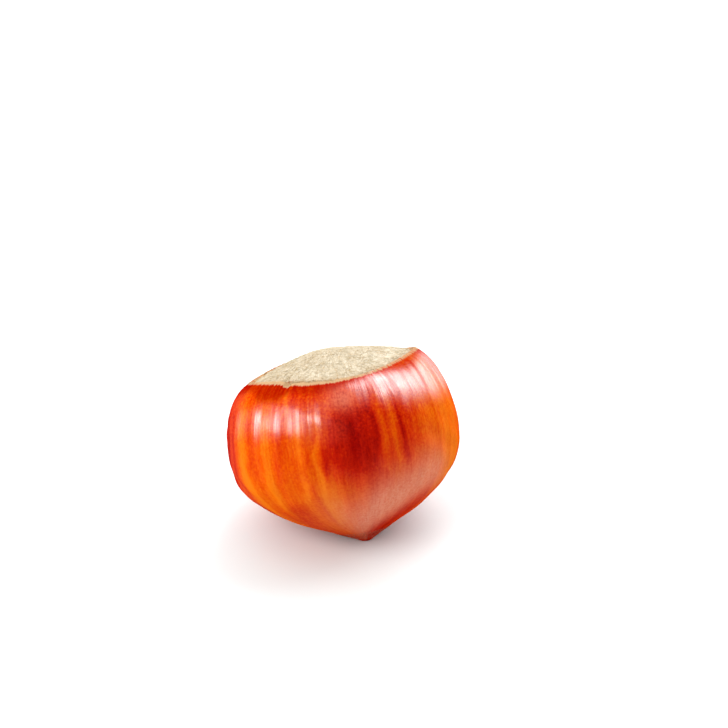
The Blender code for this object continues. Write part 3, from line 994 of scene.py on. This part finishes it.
point_down = strand_bundle("point_down", DOWN_HAIRS)
share = read_points(point_down.data).reshape(DOWN_HAIRS, -1, 3)[:, :, 2]
draw = np.random.default_rng(221)
start_angle = draw.uniform(*DOWN_TURNS, (DOWN_HAIRS, 1))
length = draw.uniform(*DOWN_LENGTHS, (DOWN_HAIRS, 1))
from_tip = DOWN_REACH * np.sqrt(draw.uniform(DOWN_NEAREST, 1.0, (DOWN_HAIRS, 1)))
walk = np.minimum(shell_length - from_tip + length * share, shell_length - TIP_MARGIN)
strand_angle = start_angle + draw.normal(0, DOWN_SLANT, (DOWN_HAIRS, 1)) * share
surface, side, normal = along_outline(walk, strand_angle)
lay_strands(
    point_down,
    surface,
    side,
    normal,
    DOWN_HALF_WIDTH * draw.uniform(*DOWN_WIDTHS, DOWN_HAIRS),
    draw.uniform(*DOWN_LIFTS, DOWN_HAIRS),
    draw.uniform(0, 1, DOWN_HAIRS),
)

# Plant down: pale, fine and matt, with the warm colour of the shell shining through it.

DOWN_TONES = [
    (0.0, "#8e3c26"),
    (1.0, "#bc745c"),
]

down_material, tree, shader = new_material("fine_down")
strand_tone = add_node(tree, "ShaderNodeAttribute", attribute_name="strand_tone").outputs["Fac"]
colour = add_node(tree, "ShaderNodeValToRGB", {"Fac": strand_tone}, DOWN_TONES).outputs["Color"]
tree.links.new(colour, shader.inputs["Base Color"])
shader.inputs["Roughness"].default_value = 0.9
shader.inputs["Specular IOR Level"].default_value = 0.1
point_down.data.materials.append(down_material)
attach(point_down, "root")


# The table: a plain, matt, near-white surface, a touch cooler than white because the nut throws a warm
# red light on it.

TABLE_SIDE = 3.0
TABLE_WHITE = "#e2e9e9"

bpy.ops.object.select_all(action="DESELECT")
bpy.ops.mesh.primitive_plane_add(size=TABLE_SIDE, location=(0, 0, 0))
table = bpy.context.object
table.name = "table_top"
table_material, tree, shader = new_material("matt_white_table")
shader.inputs["Base Color"].default_value = linear(TABLE_WHITE)
shader.inputs["Roughness"].default_value = 0.7
table.data.materials.append(table_material)


# The camera: a 100 mm lens from the front left and above, aimed so that the nut's middle lies where it
# does in a picture of 728 by 728.

VIEW_TURN = math.radians(-20.15)
VIEW_RISE = math.radians(32.0)
VIEW_DISTANCE = 0.1915
AIM = Vector((0, 0, 0.0092))
AIM_PIXEL = (343.1, 434.2)
PICTURE = 728
LENS_MM = 100.0
SENSOR_MM = 36.0


def toward(turn, rise):
    """The direction from the nut to something at a turn from the front and a rise, both in radians."""
    flat = math.cos(rise)
    return Vector((math.sin(turn) * flat, -math.cos(turn) * flat, math.sin(rise)))


bpy.ops.object.camera_add(location=AIM + toward(VIEW_TURN, VIEW_RISE) * VIEW_DISTANCE)
camera = bpy.context.object
camera.data.lens = LENS_MM
camera.data.sensor_width = SENSOR_MM
camera.data.clip_start = 0.01
focal_pixels = LENS_MM / SENSOR_MM * PICTURE
right_of_middle = (AIM_PIXEL[0] - PICTURE / 2) / focal_pixels
above_middle = (PICTURE / 2 - AIM_PIXEL[1]) / focal_pixels
aim_ray = Vector((right_of_middle, above_middle, -1))
look = toward(VIEW_TURN, VIEW_RISE).to_track_quat("Z", "Y")
camera.rotation_mode = "QUATERNION"
camera.rotation_quaternion = look @ aim_ray.rotation_difference(Vector((0, 0, -1)))
bpy.context.scene.camera = camera


# The light: a large softbox behind on the right and a small one that joins it towards the front, a long
# narrow one on the left that rises towards the front, a dim one high in front, one behind for the scar,
# and a dim white room.

LIGHT_DISTANCE = 0.40
SOFTBOXES = [
    # name, turn and rise in degrees, width and height in metres, brightness, the way its width runs
    ("softbox_right", 120, 32, 0.42, 0.72, 2.7, (-0.37, 0.667, 0.136)),
    ("strip_left", -98, 25, 0.80, 0.20, 4.3, (0.311, -1.042, 0.701)),
    ("wing_right", 80, 37, 0.17, 0.20, 1.8, (1, 1, 0)),
    ("softbox_front", -32, 62, 0.50, 0.50, 0.45, (1, 0, 0)),
    ("softbox_back", 178, 50, 0.80, 0.40, 1.25, (1, 0, 0)),
]
ROOM_BRIGHTNESS = 0.505


def add_softbox(name, turn, rise, width, height, brightness, long_way):
    """A rectangular lamp that faces the nut, with its width along the given direction."""
    faces = toward(math.radians(turn), math.radians(rise))
    across = (Vector(long_way) - faces * faces.dot(Vector(long_way))).normalized()
    up = faces.cross(across)
    turned_to = Matrix((across, up, faces)).transposed().to_quaternion()
    bpy.ops.object.light_add(type="AREA", location=AIM + faces * LIGHT_DISTANCE)
    lamp = bpy.context.object
    lamp.name = name
    lamp.rotation_mode = "QUATERNION"
    lamp.rotation_quaternion = turned_to
    lamp.data.shape = "RECTANGLE"
    lamp.data.size = width
    lamp.data.size_y = height
    lamp.data.energy = brightness * math.pi * width * height


for settings in SOFTBOXES:
    add_softbox(*settings)

world = bpy.data.worlds.new("room")
world.use_nodes = True
world.node_tree.nodes["Background"].inputs["Color"].default_value = (1, 1, 1, 1)
world.node_tree.nodes["Background"].inputs["Strength"].default_value = ROOM_BRIGHTNESS
bpy.context.scene.world = world
bpy.context.scene.view_settings.view_transform = "Standard"
